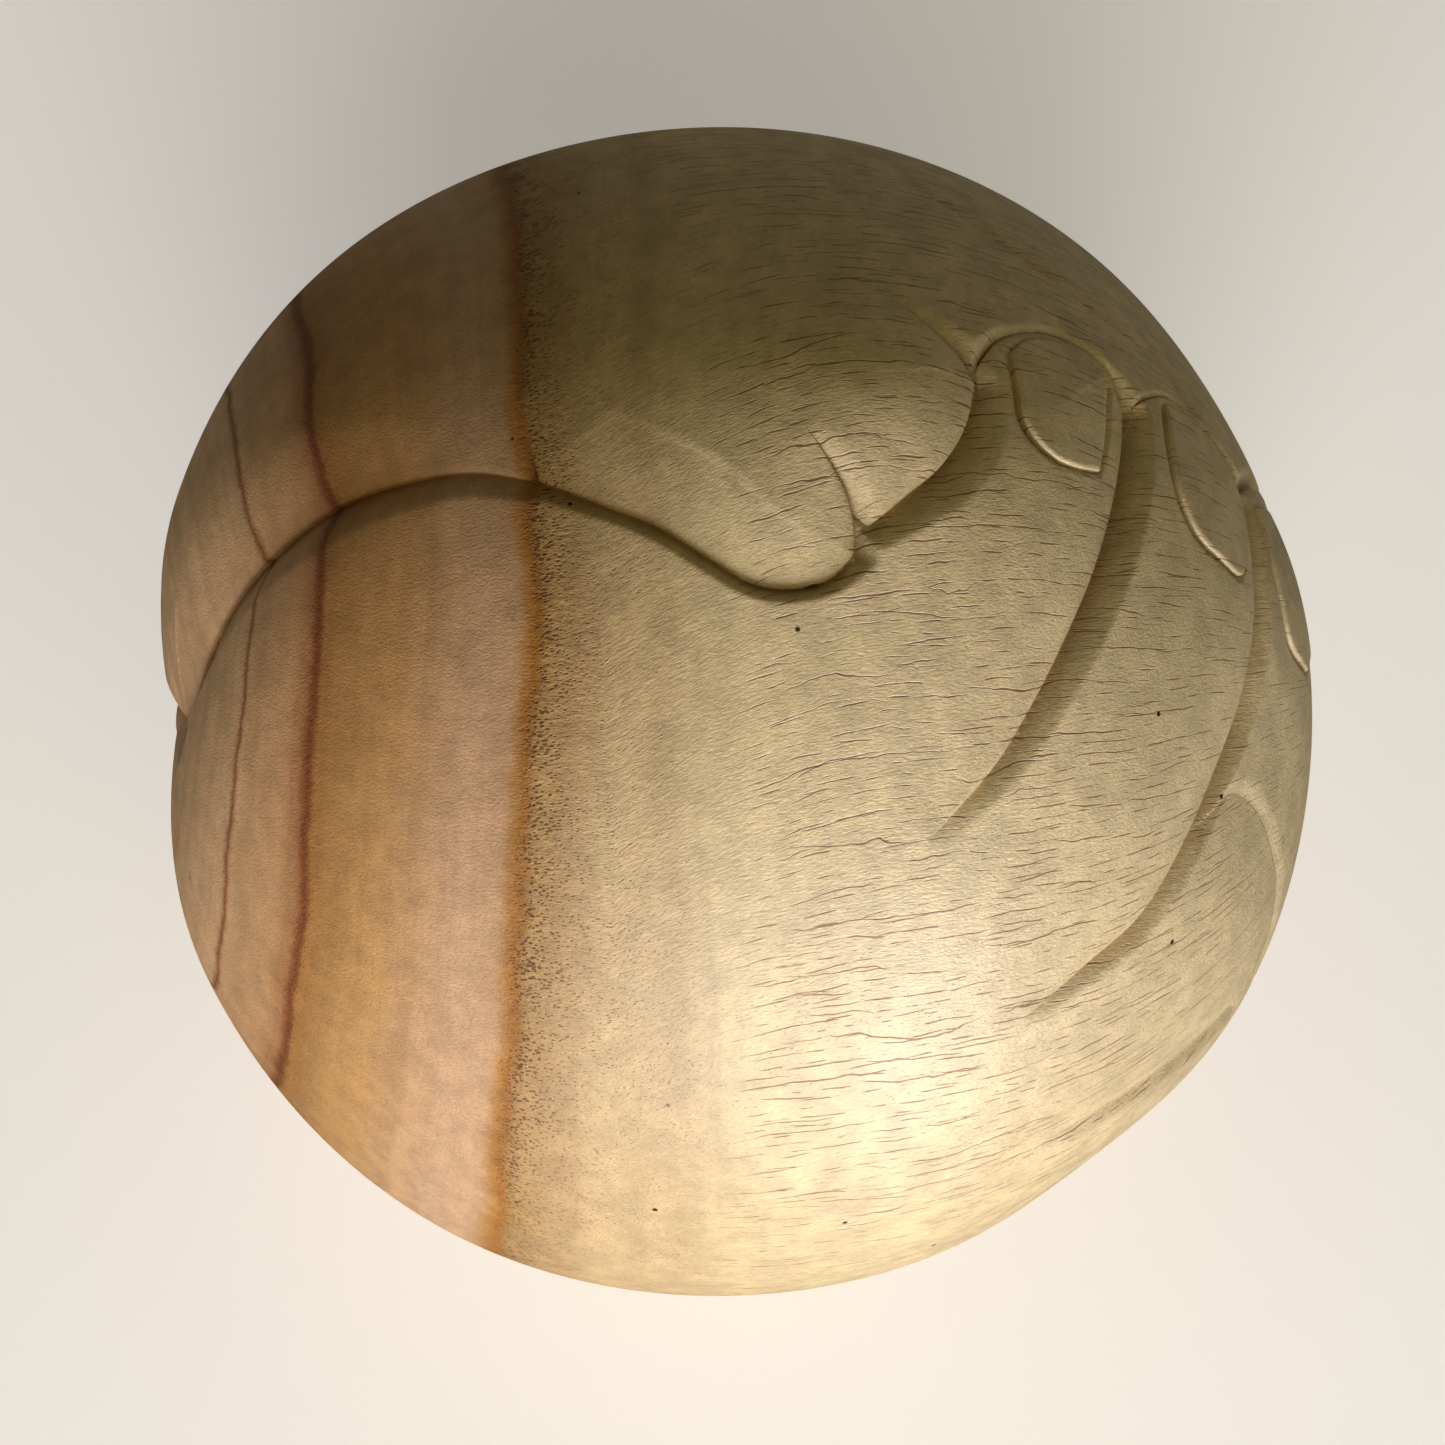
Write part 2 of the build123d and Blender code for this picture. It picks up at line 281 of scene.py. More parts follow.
MIDDLE_NAIL = [
    [
        (48, 33.4, 0.5, 0.8), (46.9, 27.6, 1, 0.9), (47, 21.8, 1, 0.9), (48.8, 18.2, 0.9, 0.8),
        (52.4, 16, 0.7, 0.6), (56.4, 14.7, 0.6, 0.5), (58.1, 16.2, 0.6, 0.5),
    ],
    [(58.1, 16.2, 0.6, 0.5), (59.4, 20.5, 0.7, 0.6), (60, 25, 0.5, 0.5)],
    [(60, 25, 0.5, 0.5), (57.2, 29.6, 0.3, 0.5), (53, 32.4, 0.2, 0.5), (48, 33.4, 0.5, 0.8)],
]
RING_NAIL = [
    [
        (65.2, 25, 0.5, 0.8), (65, 20.2, 0.9, 0.9), (66.2, 13, 0.9, 0.9), (68.2, 7.8, 0.8, 0.7),
        (75, 4.9, 0.6, 0.5),
    ],
    [(75, 4.9, 0.6, 0.5), (81, 9, 0.6, 0.5), (81.5, 20, 0.5, 0.5)],
    [(81.5, 20, 0.5, 0.5), (75, 26.5, 0.3, 0.5), (65.2, 25, 0.5, 0.8)],
]

# name: (sides, tip, root, softness, members over it). The tip and root are the ends of its grid, and
# the softness is the share of each cut that the member's own shoulder falls by.
BACK_COVERS = [
    "left_hand_back", "left_index_finger", "left_middle_finger", "right_index_finger",
    "right_middle_finger", "right_little_finger", "right_hand_heel",
]
MEMBERS = {
    "left_index_finger": (LEFT_INDEX, (10.6, 13.4), (-20, 30), 0.5, []),
    "left_middle_finger": (LEFT_MIDDLE, (22.4, 29.4), (-17, 40), 0.45, ["left_index_finger"]),
    "left_hand_back": (
        LEFT_BACK, (-17, 20.5), (-73, 8), 0.45, ["left_index_finger", "left_middle_finger"]
    ),
    "right_index_finger": (
        RIGHT_INDEX, (33, 38), (9, -12.5), 0.45,
        ["left_hand_back", "left_index_finger", "left_middle_finger"],
    ),
    "right_middle_finger": (
        RIGHT_MIDDLE, (50, 35), (20, -28), 0.25,
        ["left_index_finger", "left_middle_finger", "right_index_finger"],
    ),
    "right_little_finger": (RIGHT_LITTLE, (66, -17), (24, -48), 1.0, ["right_middle_finger"]),
    "right_ring_finger": (
        RIGHT_RING, (73, 30), (75, -35), 0.3, ["right_middle_finger", "right_little_finger"]
    ),
    "left_ring_finger": (
        LEFT_RING, (54, 31), (-2, 58), 0.4,
        ["left_middle_finger", "left_hand_back", "right_index_finger", "right_middle_finger"],
    ),
    "left_little_finger": (
        LEFT_LITTLE, (68, 26), (6, 78), 0.3,
        ["left_ring_finger", "left_hand_back", "right_middle_finger", "right_ring_finger"],
    ),
    "right_hand_heel": (
        RIGHT_HEEL, (82, -34), (26, -54), 0.4, ["right_little_finger", "right_ring_finger"]
    ),
    "right_hand_back": (RIGHT_BACK, (26, 2), (-67, -30), 0, BACK_COVERS),
}
NAILS = {
    "right_index_nail": (INDEX_NAIL, (33, 37), (33, 22.7), "right_index_finger"),
    "right_middle_nail": (MIDDLE_NAIL, (55, 32), (53, 16), "right_middle_finger"),
    "right_ring_nail": (RING_NAIL, (75, 27), (72, 5.5), "right_ring_finger"),
}
LOOPS = {name: closed_loop(member[0]) for name, member in {**MEMBERS, **NAILS}.items()}

# Broad swells and hollows of the ball: (right, up, height, width in degrees)
SWELLS = [
    (-52, 50, 1.6, 26),
    (10, 27, 3.6, 21),
    (12, 28, 1.5, 10),
    (75, 42, -0.9, 16),
    (0, 84, -0.2, 30),
    (72, -42, 0.7, 18),
    (-41, -71, 0.8, 26),
    (51, -64, -0.9, 12),
    (58, -8, -1.3, 11),
]
# The soft valley between the wrists: (right, up, depth, half-width), from the clasp round the back
VALLEY = [
    (-30, 22, 0.4, 6), (-40, 20.5, 0.8, 9), (-50, 15.5, 1.4, 13), (-60, 7, 2.2, 18),
    (-75, -2, 3.1, 24), (-90, -4, 3.2, 25), (-120, -7, 2.4, 22), (-150, -8, 2, 18),
    (-172, -9.5, 1.6, 14),
]


def ball_form(way):
    """The radius before any cutting: the ball, plus a bell-shaped swell or hollow at each listed
    place, less the valley, whose side is a smooth fall from its edge to its bottom."""
    radius = np.full(len(way), BALL_R)
    for right, up, height, width in SWELLS:
        angle = np.degrees(np.arccos(np.clip(way @ outward(np.array([right, up], float)), -1, 1)))
        radius += height * np.exp(-((angle / width) ** 2))
    gap, carried = nearest(way, smooth_line(VALLEY, 0.5), closed=False)
    x = np.clip(1 - gap / carried[:, 1], 0, 1)
    return radius - carried[:, 0] * x * x * (1.6 - 0.6 * x)


def laps(way, covers):
    """How far a surface is cut down by the members over it. Beside each one it dips: deepest at that
    member's outline, rising to the ball over the reach. Beneath it, it sinks further."""
    places = place_of(way)
    cut_down = np.zeros(len(way))
    for cover in covers:
        gap, carried = nearest(way, LOOPS[cover])
        cut, reach = carried.T
        dip = cut * np.clip(1 - gap / reach, 0, 1) ** 1.3
        beneath = cut + LAP_GAP + LAP_SLOPE * np.maximum(gap - 0.6, 0)
        cut_down = np.maximum(cut_down, np.where(inside(places, LOOPS[cover]), beneath, dip))
    return cut_down


def surface(way, name, more_covers=()):
    """The carved radius of a member, and how far it is cut down: the ball, less the laps, rounded off
    towards its own edge by a broad shoulder and a small quarter of an ellipse."""
    softness, covers = MEMBERS[name][3:]
    cut_down = laps(way, [*covers, *more_covers])
    gap, carried = nearest(way, LOOPS[name])
    cut = carried[:, 0]
    shoulder = softness * cut * np.clip(1 - gap / SHOULDER, 0, 1) ** 2
    fall = shoulder + rounded_edge(gap, (EDGE + 0.2 * softness) * cut, 1.3 + 4 * softness)
    return ball_form(way) - cut_down - fall, cut_down


def nail_surface(way, name):
    """The finger's own surface without the cut round the nail, raised a little, and rounded at the
    nail's edge."""
    radius, cut_down = surface(way, NAILS[name][3])
    gap, carried = nearest(way, LOOPS[name])
    return radius + NAIL_RISE - rounded_edge(gap, 0.45 * carried[:, 0], 1.3), cut_down


def rounded_edge(gap, size, width):
    """How far an edge is taken down: a quarter of an ellipse, `size` deep and `width` sizes wide."""
    x = np.clip(1 - gap / np.maximum(width * size, 1e-6), 0, 1)
    return size * (1 - np.sqrt(1 - x * x))


# ---- meshes -----------------------------------------------------------------------------------

def ruled_places(sides, tip, root, step):
    """A grid of places inside an outline. The outline is parted at the tip and the root, and rows
    run straight across from one half to the other, with columns closer together at the edges."""
    loop = closed_loop(sides)[:, :2]
    start = np.argmin(np.hypot(*(loop - tip).T))
    end = np.argmin(np.hypot(*(np.roll(loop, -start, axis=0) - root).T))
    loop = np.roll(loop, -start, axis=0)
    one, two = loop[: end + 1], np.concatenate([loop[end:], loop[:1]])[::-1]
    lengths = [np.concatenate([[0], np.cumsum(np.hypot(*np.diff(h, axis=0).T))]) for h in (one, two)]
    degree = np.radians(BALL_R)
    longer = max(a[-1] for a in lengths) * degree
    widest = np.hypot(*(loop[:, None] - loop[None, ::8]).T).max() * degree
    step = max(step, np.sqrt(1.5 * longer * widest / MOST_POINTS))
    rows = int(longer / step)
    halves = []
    for half, a in zip((one, two), lengths):
        s = np.linspace(0, a[-1], rows)
        halves.append(np.stack([np.interp(s, a, half[:, 0]), np.interp(s, a, half[:, 1])], axis=-1))
    across = np.hypot(*(halves[0] - halves[1]).T).max() * degree
    columns = int(across * 1.5 / step)
    u = (1 - np.cos(np.linspace(0, np.pi, columns))) / 2
    return halves[0][:, None] * (1 - u[None, :, None]) + halves[1][:, None] * u[None, :, None]


def closed_shell(name, top, rim_low):
    """A closed mesh under a grid of points whose first and last rows are each one point: the grid,
    a wall down each side to the two lines of low rim points, and a strip between those lines."""
    rows, columns = top.shape[:2]
    index = np.arange(rows * columns).reshape(rows, columns)
    low = rows * columns + np.arange(2 * rows).reshape(rows, 2)

    def quads(first, second):
        return np.stack([first[:-1], second[:-1], second[1:], first[1:]], axis=-1).reshape(-1, 4)

    faces = np.concatenate([
        quads(index[:, :-1], index[:, 1:]), quads(index[:, -1], low[:, 1]),
        quads(low[:, 1], low[:, 0]), quads(low[:, 0], index[:, 0]),
    ])
    points = np.concatenate([top.reshape(-1, 3), rim_low.reshape(-1, 3)]) * MM

    mesh = bpy.data.meshes.new(name)
    mesh.vertices.add(len(points))
    mesh.vertices.foreach_set("co", points.ravel().astype(np.float32))
    mesh.loops.add(faces.size)
    mesh.loops.foreach_set("vertex_index", faces.ravel().astype(np.int32))
    mesh.polygons.add(len(faces))
    mesh.polygons.foreach_set("loop_start", np.arange(0, faces.size, 4, dtype=np.int32))
    mesh.update(calc_edges=True)
    return mesh


def outward_faces(mesh):
    """Merges doubled points, drops faces with no area and turns all faces outwards."""
    shape = bmesh.new()
    shape.from_mesh(mesh)
    bmesh.ops.remove_doubles(shape, verts=shape.verts, dist=0.5e-6)
    bmesh.ops.dissolve_degenerate(shape, edges=shape.edges, dist=1e-7)
    bmesh.ops.recalc_face_normals(shape, faces=shape.faces)
    shape.to_mesh(mesh)
    shape.free()
    mesh.polygons.foreach_set("use_smooth", np.ones(len(mesh.polygons), dtype=bool))
    mesh.set_sharp_from_angle(angle=np.radians(50))


def carve(name, grid, radius_of, material):
    """Makes a member from its grid of directions and its radius function, in place of its CAD
    node."""
    rows, columns = grid.shape[:2]
    way = grid.reshape(-1, 3)
    radius, cut_down = radius_of(way)
    top = (CENTRE + way * radius[:, None]).reshape(rows, columns, 3)
    rim_low = CENTRE + grid[:, [0, -1]] * INSIDE_R
    mesh = closed_shell(name + "_wood", top, rim_low)
    # how far each point is cut down, as a share of DEEPEST, for the painted shade in the cuts; the walls
    # and underside get the full share
    hollow = np.concatenate([np.clip(cut_down / DEEPEST, 0, 1), np.ones(2 * rows)]).astype(np.float32)
    mesh.attributes.new("hollow", "FLOAT", "POINT").data.foreach_set("value", hollow)
    outward_faces(mesh)
    piece = bpy.data.objects.new(name + "_wood", mesh)
    bpy.context.scene.collection.objects.link(piece)
    mesh.materials.append(material)
    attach(piece, "root")
    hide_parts(name)
    return piece


# ---- the hidden back --------------------------------------------------------------------------
CREASE_START = np.array([-72.0, -3.0])     # where the crease between the wrists leaves the clasp
CREASE_BACK = np.array([0.0, 165.0])       # where it crosses the back
CREASE_CUT = 1.2


def crease_frame():
    """Three directions for the forearms: along the wrists' crease from its start, square to that
    in the crease's plane on the clasp's side, and square to the plane, towards the left forearm."""
    along = outward(CREASE_START)
    across = np.cross(outward(CREASE_BACK), along)
    across /= np.linalg.norm(across)
    ahead = np.cross(along, across)
    return along, ahead * np.sign(ahead @ TOWARDS), across


def forearm_ways(side):
    """A grid of directions over half of the ball on one side of the crease. Rows are arcs from the
    front half of the crease to its back half, closer together at its two ends, and every row's
    points are closer together at the crease."""
    along, ahead, across = crease_frame()
    step = 2 * GRID / BALL_R
    lat = np.linspace(-np.pi / 2, np.pi / 2, int(np.pi / step))
    lon = (1 - np.cos(np.linspace(0, np.pi, int(1.4 * np.pi / step)))) * np.pi / 2
    lat, lon = np.meshgrid(lat, lon, indexing="ij")
    flat = np.cos(lon)[..., None] * ahead + side * np.sin(lon)[..., None] * across
    return np.cos(lat)[..., None] * flat + np.sin(lat)[..., None] * along


def forearm_surface(way):
    """The ball, dipped beside each hand that lies over it, with the crease between the two
    forearms cut as a soft V, and the foot cut flat."""
    cut_down = np.minimum(laps(way, MEMBERS), 5)
    across = crease_frame()[2]
    from_crease = np.abs(np.arcsin(np.clip(way @ across, -1, 1))) * BALL_R
    cut_down = np.maximum(cut_down, CREASE_CUT * np.clip(1 - from_crease / 3.0, 0, 1) ** 1.4)
    radius = ball_form(way) - cut_down
    down = np.maximum(-way[:, 2], 1e-6)
    return np.where(way[:, 2] < 0, np.minimum(radius, CENTRE[2] / down), radius), cut_down


# ---- wood -------------------------------------------------------------------------------------
# Fast-grown tropical hardwood, sanded and left bare: tan heartwood with red-brown growth lines, a
# dark speckled line where it meets the cream sapwood, open vessels and fine checks along the grain,
# and a fuzzy, barely glossy surface.

def srgb(text):
    """A linear colour from a "#rrggbb" one."""
    value = np.array([int(text[i:i + 2], 16) for i in (1, 3, 5)]) / 255
    linear = np.where(value <= 0.04045, value / 12.92, ((value + 0.055) / 1.055) ** 2.4)
    return (*linear.tolist(), 1.0)


LOG_AXIS = (1.0, -0.18, -0.33)       # the log's own axis: right, up, towards
PITH_OFFSET = (0, -6.6, -8.3)        # the pith's line from the ball's centre
TAPER = 0.27                         # how fast the heartwood narrows towards the fingertips
GRAIN_AXIS = (0.975, 0.07, -0.2)     # the way the vessels run
VESSEL_SIZE = (1.15, 0.3, 0.3)       # along and across the grain, in millimetres
FUZZ_SIZE = (0.55, 0.22, 0.22)       # the real fuzz is finer: this is as fine as shows
TUFT_SIZE = (2.2, 0.7, 0.7)
SWEEP_FROM, SWEEP_MOST, SWEEP = 4.0, 26.0, 0.011     # where the grain starts to rise, and how fast
PIN_HOLES_APART = 9
PIN_HOLE_EDGE = (0.022, 0.036)       # as a share of that
RELIEF = 0.16                        # the height of the fuzz and the checks

# the colours, and how the vessels crowd (as a grey), by millimetres from the pith
RINGS = [
    (0, "#D8AE82"), (26.1, "#D6AA7C"), (26.75, "#96542E"), (27.2, "#CFA274"), (33.0, "#C9996A"),
    (35.0, "#B87F52"), (35.6, "#94542C"), (36.0, "#7E4220"), (36.6, "#AE7840"), (39, "#B98850"),
    (44, "#C4945E"), (50.5, "#D0A680"), (53.4, "#CCA27A"), (54.3, "#BC8444"), (55.0, "#A66A26"),
    (55.7, "#B08A54"), (58.5, "#C6A272"), (60.5, "#CDAF80"), (64, "#CDB082"), (67.5, "#DFC697"),
    (90, "#E2CCA2"),
]
CROWDING = [
    (0, "#404040"), (25.8, "#505050"), (26.8, "#B0B0B0"), (27.6, "#404040"), (34, "#505050"),
    (35.9, "#D0D0D0"), (37.5, "#808080"), (41, "#505050"), (54.1, "#505050"), (54.9, "#D8D8D8"),
    (55.5, "#FFFFFF"), (57.0, "#DCDCDC"), (59.0, "#B4B4B4"), (64, "#9C9C9C"), (68, "#606060"),
    (90, "#808080"),
]
# Spacing of the rows, wander in rows, length, half-width, where along the grain they begin and end
# (fading in between the first two, out between the last two), and a seed
CHECKS = [
    (2.4, 2.4, 10.0, 0.06, (-9.0, -4.0, 24.0, 40.0), 3.1),
    (1.6, 2.2, 4.6, 0.055, (-12.0, -7.0, 36.0, 50.0), 9.4),
    (1.1, 1.8, 2.4, 0.05, (-14.0, -8.0, 60.0, 70.0), 17.7),
]

# settings that many nodes share
TIMES = {"operation": "MULTIPLY"}
TIMES_PLUS = {"operation": "MULTIPLY_ADD"}
MINUS = {"operation": "SUBTRACT"}
SMOOTH = {"interpolation_type": "SMOOTHSTEP"}
PAINT = {"out": 2, "data_type": "RGBA", "blend_type": "MIX"}
TINT = {"out": 2, "data_type": "RGBA", "blend_type": "MULTIPLY"}


def log_space(axis, offset):
    """The turn and shift that put the log's axis along X, in millimetres from the pith."""
    along = axis[0] * RIGHT + axis[1] * UP + axis[2] * TOWARDS
    along /= np.linalg.norm(along)
    upward = UP - along * (UP @ along)
    upward /= np.linalg.norm(upward)
    turn = np.array([along, upward, np.cross(along, upward)])
    return Matrix(turn).to_euler(), -turn @ CENTRE - np.array(offset)


def per_mm(size):
    """One over each length, to scale a pattern to it."""
    return tuple(1 / length for length in size)


def adder(tree):
    """The function that adds a node to a tree. It takes the node's inputs, as a list of the first
    ones or a dict by socket, and its settings, and gives back one of its outputs."""
    def add(kind, inputs, out=0, **settings):
        made = tree.nodes.new("ShaderNode" + kind)
        for key, value in settings.items():
            setattr(made, key, value)
        for key, value in inputs.items() if isinstance(inputs, dict) else enumerate(inputs):
            if isinstance(value, bpy.types.NodeSocket):
                tree.links.new(value, made.inputs[key])
            else:
                made.inputs[key].default_value = value
        return made.outputs[out]
    return add


def ring_distance(add, in_log, along):
    """Millimetres from the pith, plus a slow and a fine waver, over the log's narrowing. The
    narrowing is a straight line along the log, less a square past its 20th millimetre."""
    flat = add("VectorMath", [in_log, (0, 1, 1)], **TIMES)
    from_pith = add("VectorMath", [flat], out=1, operation="LENGTH")
    slow = add("TexNoise", {"Vector": in_log, "Scale": 0.055, "Detail": 3.0})
    slow = add("Math", [slow, 3.4, -1.7], **TIMES_PLUS)
    fine = add("TexNoise", {"Vector": in_log, "Scale": 0.9, "Detail": 3.0})
    fine = add("Math", [fine, 0.7, -0.35], **TIMES_PLUS)
    from_pith = add("Math", [add("Math", [from_pith, slow]), fine])
    narrowing = add("Math", [along, -TAPER / BALL_R, 1 - TAPER / 2], **TIMES_PLUS)
    past = add("Math", [add("Math", [along, 20.0], **MINUS), 0.0], operation="MAXIMUM")
    squared = add("Math", [past, past], **TIMES)
    narrowing = add("Math", [squared, -0.0002, narrowing], **TIMES_PLUS)
    return add("Math", [from_pith, narrowing], operation="DIVIDE")


def swept_grain(add, grain, way_along):
    """The grain's own place, lifted by the square of the distance past SWEEP_FROM, so that the
    grain sweeps up towards the wrists."""
    past = add("Math", [SWEEP_FROM, way_along], **MINUS)
    past = add("Math", [past, 0.0], operation="MAXIMUM")
    past = add("Math", [past, SWEEP_MOST], operation="MINIMUM")
    lift = add("Math", [add("Math", [past, past], **TIMES), SWEEP], **TIMES)
    return add("VectorMath", [grain, add("CombineXYZ", {1: lift})], operation="ADD")


def check_lines(add, swept, way_along):
    """The checks, 0 to 1: wavy hairlines along the grain, in rows round the pith. One noise bends
    the rows, and another along each row says where a check is and how wide."""
    aside = add("SeparateXYZ", [swept], out=1)
    angle = add("Math", [aside, add("SeparateXYZ", [swept], out=2)], operation="ARCTAN2")
    round_pith = add("Math", [angle, BALL_R], **TIMES)
    bend_at = [add("Math", [way_along, 0.09], **TIMES), add("Math", [round_pith, 0.1], **TIMES)]
    checks = 0.0
    for spacing, wander, length, half_width, zone, seed in CHECKS:
        bend = add("CombineXYZ", [*bend_at, seed])
        bend = add("TexNoise", {"Vector": bend, "Scale": 1.0, "Detail": 4.0})
        row = add("Math", [round_pith, spacing], operation="DIVIDE")
        row = add("Math", [bend, wander, row], **TIMES_PLUS)
        off_row = add("Math", [add("Math", [row], operation="FRACT"), 0.5], **MINUS)
        off_row = add("Math", [off_row], operation="ABSOLUTE")
        row_at = add("Math", [add("Math", [row], operation="FLOOR"), 7.31], **TIMES)
        row_along = add("Math", [way_along, length], operation="DIVIDE")
        present = add("TexNoise", {"Vector": add("CombineXYZ", [row_along, row_at, seed]), "Scale": 1.0})
        width = add("MapRange", [present, 0.5, 0.66, 0.0, half_width], **SMOOTH)
        past_edge = add("Math", [width, -1.0], **TIMES)
        past_edge = add("Math", [off_row, spacing, past_edge], **TIMES_PLUS)
        line = add("MapRange", [past_edge, -0.03, 0.05, 1.0, 0.0], **SMOOTH)
        for fade in (
            add("MapRange", [present, 0.49, 0.56, 0.0, 1.0], **SMOOTH),
            add("MapRange", [way_along, zone[0], zone[1], 0.0, 1.0], **SMOOTH),
            add("MapRange", [way_along, zone[2], zone[3], 1.0, 0.0], **SMOOTH),
        ):
            line = add("Math", [line, fade], **TIMES)
        checks = add("Math", [checks, line], operation="MAXIMUM")
    return checks


def carved_wood():
    """The wood, built from the place in the log: rings by the distance from the pith, vessels and
    checks drawn out along the grain."""
    material = bpy.data.materials.new("bare_carved_hardwood")
    material.use_nodes = True
    tree = material.node_tree
    shader = tree.nodes["Principled BSDF"]
    add = adder(tree)

    place = add("TexCoord", [], out="Object")
    turn, shift = log_space(LOG_AXIS, PITH_OFFSET)
    in_log = add("Mapping", [place, shift, turn, (1 / MM,) * 3])
    turn, shift = log_space(GRAIN_AXIS, (0, 0, 0))
    grain = add("Mapping", [place, shift, turn, (1 / MM,) * 3])
    along = add("SeparateXYZ", [in_log])
    way_along = add("SeparateXYZ", [grain])
    ring = ring_distance(add, in_log, along)
    swept = swept_grain(add, grain, way_along)

    by_ring = []
    for stops in (RINGS, CROWDING):
        last = stops[-1][0]
        ramp = tree.nodes.new("ShaderNodeValToRGB")
        tree.links.new(add("Math", [ring, last], operation="DIVIDE"), ramp.inputs[0])
        elements = ramp.color_ramp.elements
        elements.remove(elements[-1])
        elements[0].position, elements[0].color = 0, srgb(stops[0][1])
        for millimetres, stop_colour in stops[1:]:
            elements.new(millimetres / last).color = srgb(stop_colour)
        by_ring.append(ramp.outputs[0])
    colour = by_ring[0]
    crowding = add("SeparateColor", [by_ring[1]])

    # slow bands inside each growth ring, and blotches
    band_at = [add("Math", [ring, 0.5], **TIMES), add("Math", [along, 0.02], **TIMES)]
    band_at = add("CombineXYZ", band_at)
    bands = add("TexNoise", {"Vector": band_at, "Scale": 1.0, "Detail": 3.0, "Roughness": 0.6})
    bands = add("MapRange", [bands, 0.3, 0.7, 0.9, 1.05], **SMOOTH)
    colour = add("Mix", {0: 1.0, 6: colour, 7: bands}, **TINT)
    blotches = add("TexNoise", {"Vector": in_log, "Scale": 0.3, "Detail": 4.0, "Roughness": 0.65})
    blotch_tint = add("MapRange", [blotches, 0.3, 0.7, 0.86, 1.08], **SMOOTH)
    colour = add("Mix", {0: 1.0, 6: colour, 7: blotch_tint}, **TINT)

    # vessels: brown dashes drawn out along the grain, crowded beside some growth lines
    vessel_at = add("VectorMath", [swept, per_mm(VESSEL_SIZE)], **TIMES)
    vessels = add("TexVoronoi", {"Vector": vessel_at, "Scale": 1.0})
    patches = add("TexNoise", {"Vector": in_log, "Scale": 0.25, "Detail": 3.0})
    patches = add("MapRange", [patches, 0.35, 0.65, 0.75, 1.15], **SMOOTH)
    thick = add("Math", [crowding, 0.36, 0.08], **TIMES_PLUS)
    thick = add("Math", [thick, patches], **TIMES)
    dash = add("Math", [vessels, thick], **MINUS)
    dash = add("MapRange", [dash, -0.1, 0.04, 1.0, 0.0], **SMOOTH)
    dash_strength = add("Math", [dash, add("Math", [crowding, 0.7, 0.2], **TIMES_PLUS)], **TIMES)
    colour = add("Mix", {0: dash_strength, 6: colour, 7: srgb("#6E401C")}, **PAINT)

    checks = check_lines(add, swept, way_along)
    check_strength = add("Math", [checks, 0.8], **TIMES)
    colour = add("Mix", {0: check_strength, 6: colour, 7: srgb("#82401A")}, **PAINT)

    # fuzz: the raised, sanded fibres
    fuzz_at = add("VectorMath", [swept, per_mm(FUZZ_SIZE)], **TIMES)
    fuzz = add("TexNoise", {"Vector": fuzz_at, "Scale": 1.0, "Detail": 3.0, "Roughness": 0.65})
    fuzz_tint = add("MapRange", [fuzz, 0.25, 0.75, 0.87, 1.09], **SMOOTH)
    colour = add("Mix", {0: 1.0, 6: colour, 7: fuzz_tint}, **TINT)

    # painted shade: the cuts are darkened by how deep they are, a little unevenly, where shade falls in
    # them
    hollow = add("Attribute", [], out="Fac", attribute_name="hollow")
    painted_cut_shade = add("MapRange", [hollow, 0.1, 0.9, 0.0, 0.7], **SMOOTH)
    painted_cut_shade = add("Math", [painted_cut_shade, add("Math", [blotches, 0.6, 0.7], **TIMES_PLUS)], **TIMES)
    colour = add("Mix", {0: painted_cut_shade, 6: colour, 7: srgb("#A07A48")}, **TINT)

    # a few pin holes
    holes = add("TexVoronoi", {"Vector": grain, "Scale": 1 / PIN_HOLES_APART})
    holes = add("MapRange", [holes, *PIN_HOLE_EDGE, 1.0, 0.0], **SMOOTH)
    colour = add("Mix", {0: holes, 6: colour, 7: srgb("#1A0E06")}, **PAINT)
    tree.links.new(colour, shader.inputs["Base Color"])

    # relief: open vessels and checks, the fuzz, and torn fibres where the vessels crowd
    tuft_at = add("VectorMath", [swept, per_mm(TUFT_SIZE)], **TIMES)
    tufts = add("TexNoise", {"Vector": tuft_at, "Scale": 1.0, "Roughness": 0.6})
    torn = add("Math", [tufts, add("Math", [crowding, 1.4, 0.25], **TIMES_PLUS)], **TIMES)
    height = add("Math", [checks, -0.4], **TIMES)
    for part, share in ((dash, -0.5), (fuzz, 0.8), (torn, 1.0)):
        height = add("Math", [part, share, height], **TIMES_PLUS)
    bump = {"Strength": 0.7, "Distance": RELIEF * MM, "Height": height}
    tree.links.new(add("Bump", bump), shader.inputs["Normal"])
    roughness = add("MapRange", [fuzz, 0.3, 0.7, 0.38, 0.52], **SMOOTH)
    tree.links.new(roughness, shader.inputs["Roughness"])
    shader.inputs["Specular IOR Level"].default_value = 0.4
    return material


wood = carved_wood()

# ---- build ------------------------------------------------------------------------------------
for name, (sides, tip, root, _, _) in MEMBERS.items():
    places = ruled_places(sides, np.array(tip, float), np.array(root, float), GRID)
    nails = [nail for nail, of in NAILS.items() if of[3] == name]
    carve(name, outward(places), lambda way, name=name, on=nails: surface(way, name, on), wood)

for name, side in (("left_forearm", 1), ("right_forearm", -1)):
    carve(name, forearm_ways(side), forearm_surface, wood)

for name, (sides, tip, root, _) in NAILS.items():
    places = ruled_places(sides, np.array(tip, float), np.array(root, float), GRID * 0.6)
    carve(name, outward(places), lambda way, name=name: nail_surface(way, name), wood)

# the core keeps its CAD shape, and is the same wood
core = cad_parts["core_ball"]
core.data.materials.clear()
core.data.materials.append(wood)

# ---- stage ------------------------------------------------------------------------------------
scene = bpy.context.scene
scene.view_settings.view_transform = "Standard"

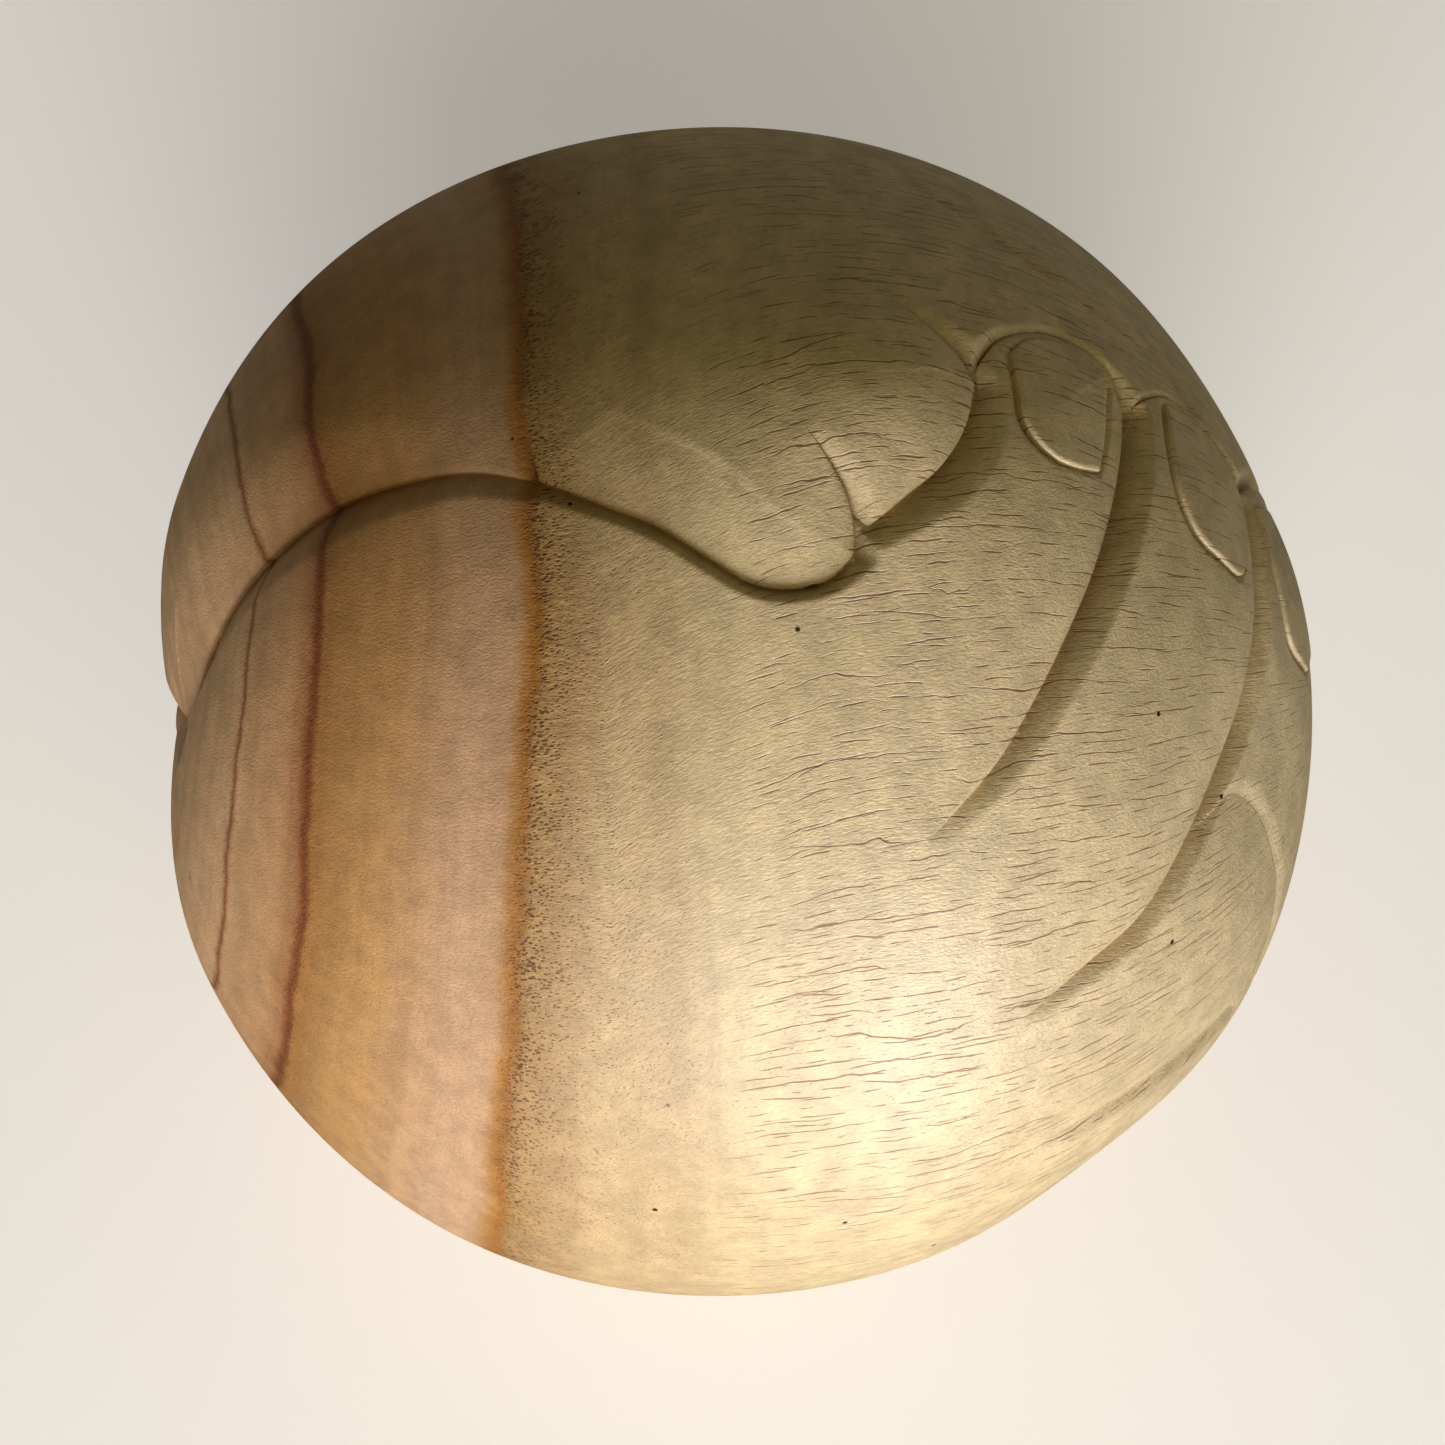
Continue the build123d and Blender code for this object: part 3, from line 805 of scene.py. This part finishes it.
floor_mesh = bpy.data.meshes.new("floor")
floor_mesh.from_pydata([(-3, -3, 0), (3, -3, 0), (3, 3, 0), (-3, 3, 0)], [], [(0, 1, 2, 3)])
floor = bpy.data.objects.new("floor", floor_mesh)
scene.collection.objects.link(floor)
paper = bpy.data.materials.new("white_paper")
paper.use_nodes = True
sheet = paper.node_tree.nodes["Principled BSDF"]
sheet.inputs["Base Color"].default_value = (0.88, 0.88, 0.87, 1)
sheet.inputs["Roughness"].default_value = 0.9
sheet.inputs["Emission Color"].default_value = (1, 0.97, 0.92, 1)
sheet.inputs["Emission Strength"].default_value = 0.33
floor_mesh.materials.append(paper)
floor.visible_glossy = False

world = bpy.data.worlds.new("studio")
scene.world = world
world.use_nodes = True
glow = world.node_tree.nodes["Background"]
glow.inputs["Color"].default_value = (1.0, 0.86, 0.4, 1)
glow.inputs["Strength"].default_value = 0.06


def lamp(name, direction, distance, size, power, colour):
    """A square soft light in a direction seen from the clasp, aimed at the ball."""
    way = np.array(direction) @ np.array([RIGHT, UP, TOWARDS])
    way /= np.linalg.norm(way)
    light = bpy.data.lights.new(name, "AREA")
    light.size, light.energy, light.color = size, power, colour
    thing = bpy.data.objects.new(name, light)
    thing.location = Vector(CENTRE * MM + way * distance)
    thing.rotation_mode = "QUATERNION"
    thing.rotation_quaternion = Vector(way).to_track_quat("Z", "Y")
    scene.collection.objects.link(thing)


# name: direction (right, up, towards), distance and size in metres, watts, colour
LAMPS = {
    "key_light": ((-0.03, -0.86, 0.46), 1.0, 0.5, 10.8, (0.98, 0.98, 1.04)),
    "front_light": ((0.15, -0.45, 0.88), 1.0, 0.6, 1.9, (1.0, 0.88, 0.5)),
    "sheen_light": ((0.445, -0.822, 0.353), 0.292, 0.05, 1.3, (1.0, 0.98, 1.0)),
}
for name, values in LAMPS.items():
    lamp(name, *values)
bpy.data.objects["sheen_light"].visible_diffuse = False     # it gives only the soft highlight

CAMERA_AWAY = 7 * BALL_R * MM
AIM_RIGHT, AIM_UP = -0.56 * MM, -1.26 * MM     # how far off the ball's middle the camera aims
camera_data = bpy.data.cameras.new("camera")
camera_data.lens, camera_data.sensor_width = 100.8, 36
camera = bpy.data.objects.new("camera", camera_data)
aim = CENTRE * MM + AIM_RIGHT * RIGHT + AIM_UP * UP
camera.location = Vector(aim + TOWARDS * CAMERA_AWAY)
camera.rotation_mode = "QUATERNION"
camera.rotation_quaternion = Matrix((RIGHT, UP, TOWARDS)).transposed().to_quaternion()
scene.collection.objects.link(camera)
scene.camera = camera
